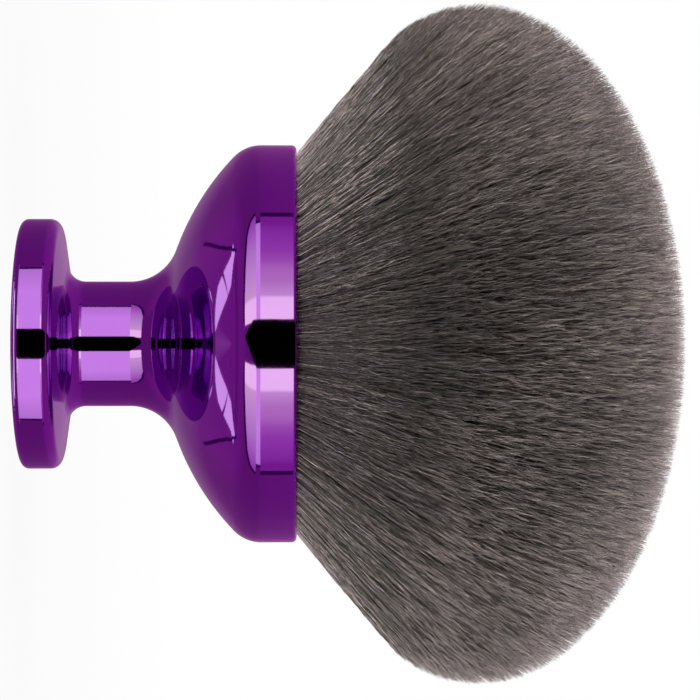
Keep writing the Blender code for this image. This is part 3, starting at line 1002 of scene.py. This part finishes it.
class BRUSH_OT_bristle_mass(bpy.types.Operator):
    """Turn the dense inside of the knot, which fills the gaps between strands."""

    bl_idname = "brush.bristle_mass"
    bl_label = "Bristle mass"

    def execute(self, context):
        sizes = context.scene.body_brush.bristles
        edge = sizes.ground_inset
        points = [(0, sizes.root_height), (sizes.mouth_radius * edge, sizes.root_height)]
        for progress in np.linspace(0, MASS_WALL_SHARE, 10):
            r, z, _ = strand_line(sizes, np.array([edge]), progress)
            points.append((float(r[0]), float(z[0])))
        for own in np.linspace(edge, 0.0, 22):
            length = strand_line(sizes, np.array([own]), 1.0)[2][0]
            fill = min(1.0, (edge - own) / MASS_RISE_SHARE)
            top = 1 - sizes.ground_depth / length
            progress = MASS_WALL_SHARE + (top - MASS_WALL_SHARE) * fill
            r, z, _ = strand_line(sizes, np.array([own]), progress)
            points.append((float(r[0]), float(z[0])))
        points[-1] = (0, points[-1][1])
        mesh = spin(without_twins(points), MASS_STEPS)
        finish(mesh, "bristle_mass", bristle_mass(), "bristle", "bristle_core")
        return {"FINISHED"}


class BRUSH_OT_outer_bristles(bpy.types.Operator):
    """Grow the strands that start at the mouth and make the flank and the shoulder."""

    bl_idname = "brush.outer_bristles"
    bl_label = "Outer bristles"

    def execute(self, context):
        sizes = context.scene.body_brush.bristles
        rng = np.random.default_rng(sizes.seed)
        count = sizes.outer_count
        places = disc_points(rng, count, sizes.outer_share, 1.0)
        start = np.zeros(count)
        early = rng.random(count) < sizes.short_share
        stop = np.where(early, rng.uniform(EARLIEST_STOP, 1.0, count), 1.0)
        low, points = sizes.outer_share, sizes.outer_points
        grown = grow_strands(sizes, rng, places, low, 1.0, start, stop, True, points)
        material = bpy.data.materials.get("pbt_bristle") or pbt_bristle()
        show_sectors("outer_bristles", sizes, grown, sector_of(places), material)
        return {"FINISHED"}


class BRUSH_OT_dome_bristles(bpy.types.Operator):
    """Grow the ends of the strands whose tips make the dome."""

    bl_idname = "brush.dome_bristles"
    bl_label = "Dome bristles"

    def execute(self, context):
        sizes = context.scene.body_brush.bristles
        rng = np.random.default_rng(sizes.seed + 1)
        count = sizes.dome_count
        places = disc_points(rng, count, 0.0, sizes.dome_share)
        own = np.linalg.norm(places, axis=1)
        length = strand_line(sizes, own, 1.0)[2]
        start = 1 - sizes.dome_length * rng.uniform(*DOME_LENGTH_SPREAD, count) / length
        stop = np.ones(count)
        high, points = sizes.dome_share, sizes.dome_points
        grown = grow_strands(sizes, rng, places, 0.0, high, start, stop, False, points)
        material = bpy.data.materials.get("pbt_bristle") or pbt_bristle()
        core = own < sizes.core_share
        data = bristle_mesh("core_bristles", sizes, *(part[core] for part in grown))
        show(data, "core_bristles", material, "bristle", "bristle_core")
        # A strand of the core belongs to no sector.
        sectors = np.where(core, -1, sector_of(places))
        show_sectors("dome_bristles", sizes, grown, sectors, material)
        return {"FINISHED"}


# Stage

# Light of the cards, as degrees round from the camera's side and a linear colour. The
# room's rise is degrees above or below the floor and a share of its strength.
DIM_VIOLET = (0.285, 0.06, 0.30)
ROOM_ROUND = (
    (0, DIM_VIOLET),
    (153, DIM_VIOLET),
    (163, (0.34, 0.13, 0.35)),
    (180, (0.39, 0.21, 0.39)),
)
ROOM_RISE = ((-90, 1.0), (-50, 1.0), (-35, 0.75), (-5, 0.75), (12, 1.05), (90, 1.15))
LILAC = ((0, (0.65, 1.0, 0.63)), (48, (0.65, 1.0, 0.63)), (71, (0.50, 0.72, 0.49)))
UPPER_SOFTBOX = (
    (0, (0.41, 0.98, 0.31)),
    (25.3, (0.39, 0.90, 0.30)),
    (26.8, (0.25, 0.49, 0.21)),
    (35, (0.20, 0.30, 0.17)),
    (41, (0.19, 0.25, 0.16)),
    (47, (0.15, 0.13, 0.14)),
    (53, (0.126, 0.074, 0.128)),
    (66, (0.10, 0.04, 0.11)),
    (71, (0.08, 0.02, 0.085)),
)
LOWER_SOFTBOX = (
    (0, (0.41, 0.98, 0.30)),
    (25.3, (0.39, 0.90, 0.29)),
    (26.8, (0.28, 0.58, 0.20)),
    (41, (0.23, 0.45, 0.20)),
    (53, (0.20, 0.33, 0.18)),
    (66, (0.16, 0.16, 0.16)),
    (75, (0.12, 0.08, 0.12)),
)

# Foot of a lower softbox, as degrees round and how far it falls, in shares of its radius.
SOFTBOX_FOOT = (
    (12, 0.90),
    (21, 0.90),
    (30, 0.88),
    (40, 0.81),
    (50, 0.73),
    (60, 0.63),
    (69, 0.53),
    (75, 0.36),
    (77, 0.17),
)
# Foot of the black flag, as degrees round and its height, in shares of its radius.
FLAG_FOOT = (
    (-13.5, -0.33),
    (-9, -0.62),
    (-4.8, -0.90),
    (1.5, -0.63),
    (7.5, -0.38),
    (13.5, -0.15),
)

# Corners of the cards under the brush, across and back, in shares of their depth below it.
FLOOR_CARD = ((0.06, 0.22), (0.30, 0.29), (0.62, 0.24), (0.62, 0.05), (0.23, 0.134))
FLOOR_FELT = (
    (0.494, 0.92),
    (0.502, 0.52),
    (0.512, 0.37),
    (0.555, 0.20),
    (0.69, -0.04),
    (0.72, -0.04),
    (0.58, 0.23),
    (0.536, 0.39),
    (0.526, 0.53),
    (0.517, 0.92),
)


def white_when_seen(tree):
    """One for rays from the camera, a mirror or glass, and nought for the others."""
    path = add_node(tree, "ShaderNodeLightPath")
    either = add_node(
        tree,
        "ShaderNodeMath",
        links={0: path.outputs["Is Camera Ray"], 1: path.outputs["Is Glossy Ray"]},
        operation="MAXIMUM",
    )
    seen = add_node(
        tree,
        "ShaderNodeMath",
        links={0: either.outputs[0], 1: path.outputs["Is Transmission Ray"]},
        operation="MAXIMUM",
    )
    return seen.outputs[0]


def floor_paint():
    """Matt white studio floor, which keeps a soft shadow round the brush."""
    material, tree, output = new_material("matt_white_floor_paint")
    matt = add_node(
        tree, "ShaderNodeBsdfDiffuse", {"Color": linear("#808080"), "Roughness": 1.0}
    )
    white = add_node(tree, "ShaderNodeEmission", {"Color": (1, 1, 1, 1), "Strength": 1.0})
    place = add_node(tree, "ShaderNodeTexCoord").outputs["Object"]
    away = add_node(tree, "ShaderNodeVectorMath", links={0: place}, operation="LENGTH")
    share_of_white = add_node(
        tree,
        "ShaderNodeMapRange",
        {"From Min": 0.03, "From Max": 0.5, "To Min": 0.94, "To Max": 1.0},
        {"Value": away.outputs["Value"]},
    )
    blend = add_node(
        tree,
        "ShaderNodeMath",
        links={0: white_when_seen(tree), 1: share_of_white.outputs["Result"]},
        operation="MULTIPLY",
    )
    mix = add_node(
        tree,
        "ShaderNodeMixShader",
        links={0: blend.outputs[0], 1: matt.outputs[0], 2: white.outputs[0]},
    )
    tree.links.new(mix.outputs[0], output.inputs["Surface"])
    return material


def lit_cloth(name, strength, round_stops, rise_stops=((-90, 1.0),)):
    """A card of lit cloth whose light changes round the brush and with its height.

    The round stops are pairs of degrees and a colour, and the rise stops of degrees and
    a share of the strength. Round is the azimuth from the camera's side, from 0 to 180,
    and rise the elevation, from -90 to 90.
    """
    material, tree, output = new_material(name)
    place = add_node(tree, "ShaderNodeTexCoord").outputs["Object"]
    parts = add_node(tree, "ShaderNodeSeparateXYZ", links={"Vector": place})
    across = add_node(
        tree, "ShaderNodeMath", links={0: parts.outputs["X"]}, operation="ABSOLUTE"
    )
    towards = add_node(
        tree, "ShaderNodeMath", {1: -1.0}, {0: parts.outputs["Y"]}, operation="MULTIPLY"
    )
    azimuth = add_node(
        tree,
        "ShaderNodeMath",
        links={0: across.outputs[0], 1: towards.outputs[0]},
        operation="ARCTAN2",
    )
    level = add_node(
        tree, "ShaderNodeVectorMath", {1: (1, 1, 0)}, {0: place}, operation="MULTIPLY"
    )
    reach = add_node(
        tree, "ShaderNodeVectorMath", links={0: level.outputs["Vector"]}, operation="LENGTH"
    )
    elevation = add_node(
        tree,
        "ShaderNodeMath",
        links={0: parts.outputs["Z"], 1: reach.outputs["Value"]},
        operation="ARCTAN2",
    )
    ramps = []
    for angle, low, stops in (
        (azimuth, 0, round_stops),
        (elevation, -90, [(degrees, (value,) * 3) for degrees, value in rise_stops]),
    ):
        spot = add_node(
            tree,
            "ShaderNodeMapRange",
            {"From Min": math.radians(low), "From Max": math.radians(low + 180)},
            {"Value": angle.outputs[0]},
        )
        ramp = add_node(tree, "ShaderNodeValToRGB", links={"Fac": spot.outputs["Result"]})
        set_stops(ramp, [((degrees - low) / 180, colour) for degrees, colour in stops])
        ramps.append(ramp.outputs["Color"])
    power = add_node(
        tree, "ShaderNodeMath", {1: strength}, {0: ramps[1]}, operation="MULTIPLY"
    )
    light = add_node(
        tree, "ShaderNodeEmission", links={"Color": ramps[0], "Strength": power.outputs[0]}
    )
    tree.links.new(light.outputs[0], output.inputs["Surface"])
    material.cycles.emission_sampling = "NONE"
    return material


def place_card(mesh, name, material):
    """Add an edited mesh to the studio as a card that only gloss can see."""
    data = bpy.data.meshes.new(name)
    mesh.to_mesh(data)
    mesh.free()
    data.materials.append(material)
    card = bpy.data.objects.new(name, data)
    bpy.context.scene.collection.objects.link(card)
    card.visible_camera = False
    card.visible_diffuse = False
    card.visible_transmission = False
    card.visible_volume_scatter = False
    card.visible_shadow = False


def curved_card(name, radius, bottom, top, azimuth_from, azimuth_to, material):
    """A curved card round the brush, between two azimuths in degrees."""
    mesh = bmesh.new()
    angle = math.radians(azimuth_from)
    rows = [
        mesh.verts.new((radius * math.sin(angle), -radius * math.cos(angle), height))
        for height in (bottom, top)
    ]
    edge = mesh.edges.new(rows)
    bmesh.ops.spin(
        mesh,
        geom=[*rows, edge],
        cent=(0, 0, 0),
        axis=(0, 0, 1),
        dvec=(0, 0, 0),
        angle=math.radians(azimuth_to - azimuth_from),
        steps=24,
    )
    place_card(mesh, name, material)


def pointed_card(name, radius, top, foot, material):
    """A curved card whose foot runs through pairs of degrees and a share of its radius."""
    mesh = bmesh.new()
    rows = []
    for degrees, fall in foot:
        angle = math.radians(degrees)
        x, y = radius * math.sin(angle), -radius * math.cos(angle)
        rows.append([mesh.verts.new((x, y, height)) for height in (fall * radius, top)])
    for (low, high), (next_low, next_high) in zip(rows, rows[1:]):
        mesh.faces.new((low, next_low, next_high, high))
    place_card(mesh, name, material)


def flat_card(name, corners, height, material):
    """A flat card under the brush, with its corners as places in its plane."""
    mesh = bmesh.new()
    mesh.faces.new([mesh.verts.new((x, y, height)) for x, y in corners])
    place_card(mesh, name, material)


def add_lamp(name, place, aim, width, height, watts):
    """A soft area lamp that lights the brush but isn't seen in its gloss."""
    lamp = bpy.data.lights.new(name, "AREA")
    lamp.shape = "RECTANGLE"
    lamp.size = width
    lamp.size_y = height
    lamp.energy = watts
    item = bpy.data.objects.new(name, lamp)
    item.location = place
    item.rotation_euler = (Vector(aim) - Vector(place)).to_track_quat("-Z", "Y").to_euler()
    bpy.context.scene.collection.objects.link(item)
    item.visible_glossy = False
    item.visible_camera = False


class BRUSH_OT_studio(bpy.types.Operator):
    """Set up the floor, the reflected cards, the lamps, the room and the camera."""

    bl_idname = "brush.studio"
    bl_label = "Studio"

    def execute(self, context):
        scene = context.scene
        studio = scene.body_brush.studio
        self.add_floor(scene, studio)
        self.add_cards(studio)
        self.add_lamps()
        self.add_world(scene)
        self.add_camera(scene, studio)
        scene.view_settings.view_transform = "Standard"
        return {"FINISHED"}

    def add_floor(self, scene, studio):
        mesh = bmesh.new()
        bmesh.ops.create_circle(mesh, cap_ends=True, segments=96, radius=studio.floor_radius)
        data = bpy.data.meshes.new("studio_floor")
        mesh.to_mesh(data)
        mesh.free()
        data.materials.append(floor_paint())
        floor = bpy.data.objects.new("studio_floor", data)
        scene.collection.objects.link(floor)
        # The photograph's handle mirrors a dim room on this side, not a white floor.
        floor.visible_glossy = False

    def add_cards(self, studio):
        reach = studio.tent_radius
        room = lit_cloth("violet_room_cloth", 1.0, ROOM_ROUND, ROOM_RISE)
        mesh = bmesh.new()
        bmesh.ops.create_uvsphere(mesh, u_segments=48, v_segments=24, radius=reach * 2)
        place_card(mesh, "room_tent", room)
        lilac = lit_cloth("lilac_cloth", 2.1, LILAC)
        bright = lit_cloth("bright_lilac_cloth", 2.1, LILAC[:1])
        high = lit_cloth("upper_softbox_cloth", 5.0, UPPER_SOFTBOX)
        low = lit_cloth("lower_softbox_cloth", 5.0, LOWER_SOFTBOX)
        rim = lit_cloth("front_strip_cloth", 6.0, [(0, (0.36, 1.0, 0.30))])
        felt = lit_cloth("black_felt", 0, [(0, (0, 0, 0))])
        dusk = lit_cloth("violet_felt", 1.0, [(0, (0.06, 0.0, 0.09))])
        sill, head = -95 * MM, 12 * MM
        for side, sign in (("left", 1), ("right", -1)):
            for name, bottom, top, begin, end, cloth in (
                ("lilac_softbox", sill, head, 12, 71, lilac),
                ("lilac_felt", sill, head, 71, 73, dusk),
                ("upper_softbox", head, 0.21 * reach, 12, 75.3, high),
                ("upper_felt", head, 0.21 * reach, 75.3, 78.2, dusk),
            ):
                edges = sorted((begin * sign, end * sign))
                curved_card(f"{name}_{side}", reach, bottom, top, *edges, cloth)
            lower = [(degrees * sign, -fall) for degrees, fall in SOFTBOX_FOOT]
            pointed_card(f"lower_softbox_{side}", reach, sill, lower, low)
            border = [((deg + 2) * sign, -1.14 * fall - 0.03) for deg, fall in SOFTBOX_FOOT]
            pointed_card(f"lower_felt_{side}", 1.02 * reach, sill, border, dusk)
            self.floor_card(f"floor_card_{side}", FLOOR_CARD, sign, -reach, bright)
            self.floor_card(f"floor_felt_{side}", FLOOR_FELT, sign, -0.98 * reach, dusk)
        pointed_card("black_flag", 0.98 * reach, 1.2 * reach, FLAG_FOOT, felt)
        # A near strip glints in the edge of the end face, and two hoods keep it off the rest.
        curved_card("front_strip", 60 * MM, -86 * MM, -57 * MM, -60, 60, rim)
        curved_card("strip_hood", 40 * MM, -30 * MM, -8 * MM, -54, 54, room)
        curved_card("strip_hood_near", 22 * MM, -8 * MM, -0.8 * MM, -60, 60, room)

    def floor_card(self, name, corners, sign, height, material):
        places = [(x * sign * -height, y * -height) for x, y in corners]
        flat_card(name, places, height, material)

    def add_lamps(self):
        add_lamp("lamp_left", (-0.8, 0.05, 0.0), (0, 0, 0.05), 0.5, 0.6, 66.0)
        add_lamp("lamp_right", (0.8, 0.05, 0.0), (0, 0, 0.05), 0.5, 0.6, 47.0)
        add_lamp("lamp_top", (0, 0.3, 0.9), (0, 0, 0.04), 0.8, 0.8, 4.0)

    def add_world(self, scene):
        world = bpy.data.worlds.new("studio_air")
        world.use_nodes = True
        tree = world.node_tree
        tree.nodes.clear()
        output = tree.nodes.new("ShaderNodeOutputWorld")
        place = add_node(tree, "ShaderNodeTexCoord").outputs["Generated"]
        parts = add_node(tree, "ShaderNodeSeparateXYZ", links={"Vector": place})
        # The light comes from beside and behind the brush, so its outline is brightest.
        behind = add_node(
            tree, "ShaderNodeMath", {1: 1.0}, {0: parts.outputs["Y"]}, operation="ADD"
        )
        air = add_node(
            tree, "ShaderNodeMath", {1: 3.2}, {0: behind.outputs[0]}, operation="POWER"
        )
        strength = add_node(
            tree,
            "ShaderNodeMix",
            {3: 1.0},
            {0: white_when_seen(tree), 2: air.outputs[0]},
        )
        light = add_node(
            tree,
            "ShaderNodeBackground",
            {"Color": (1, 1, 1, 1)},
            {"Strength": strength.outputs[0]},
        )
        tree.links.new(light.outputs[0], output.inputs["Surface"])
        scene.world = world

    def add_camera(self, scene, studio):
        camera = bpy.data.cameras.new("photo_camera")
        camera.lens = studio.lens
        camera.sensor_width = 36
        camera.clip_start = 0.01
        camera.clip_end = 50
        item = bpy.data.objects.new("photo_camera", camera)
        place = Vector((0, -studio.camera_distance, studio.camera_height))
        ahead = (Vector((studio.aim_side, 0, studio.aim_height)) - place).normalized()
        # The picture's right is +Z, so the camera is rolled a quarter turn.
        right = (Vector((0, 0, 1)) - ahead * ahead.z).normalized()
        up = right.cross(ahead)
        turned = Matrix((right, up, -ahead)).transposed()
        item.matrix_world = Matrix.Translation(place) @ turned.to_4x4()
        scene.collection.objects.link(item)
        scene.camera = item


class BRUSH_PT_panel(bpy.types.Panel):
    """The brush's operators in the sidebar of the 3D view."""

    bl_idname = "BRUSH_PT_panel"
    bl_label = "Body brush"
    bl_space_type = "VIEW_3D"
    bl_region_type = "UI"
    bl_category = "Body brush"

    def draw(self, context):
        column = self.layout.column(align=True)
        for name in STEPS:
            column.operator(f"brush.{name}")


STEPS = (
    "handle",
    "end_cover",
    "inner_pieces",
    "bristle_mass",
    "outer_bristles",
    "dome_bristles",
    "studio",
)

CLASSES = (
    HandleSizes,
    BristleSizes,
    FinishColours,
    StudioSettings,
    BrushSettings,
    BRUSH_OT_handle,
    BRUSH_OT_end_cover,
    BRUSH_OT_inner_pieces,
    BRUSH_OT_bristle_mass,
    BRUSH_OT_outer_bristles,
    BRUSH_OT_dome_bristles,
    BRUSH_OT_studio,
    BRUSH_PT_panel,
)


def register():
    for cls in CLASSES:
        bpy.utils.register_class(cls)
    bpy.types.Scene.body_brush = PointerProperty(type=BrushSettings)


def unregister():
    del bpy.types.Scene.body_brush
    for cls in reversed(CLASSES):
        bpy.utils.unregister_class(cls)


def main():
    register()
    for name in STEPS:
        getattr(bpy.ops.brush, name)()


if __name__ == "__main__":
    main()
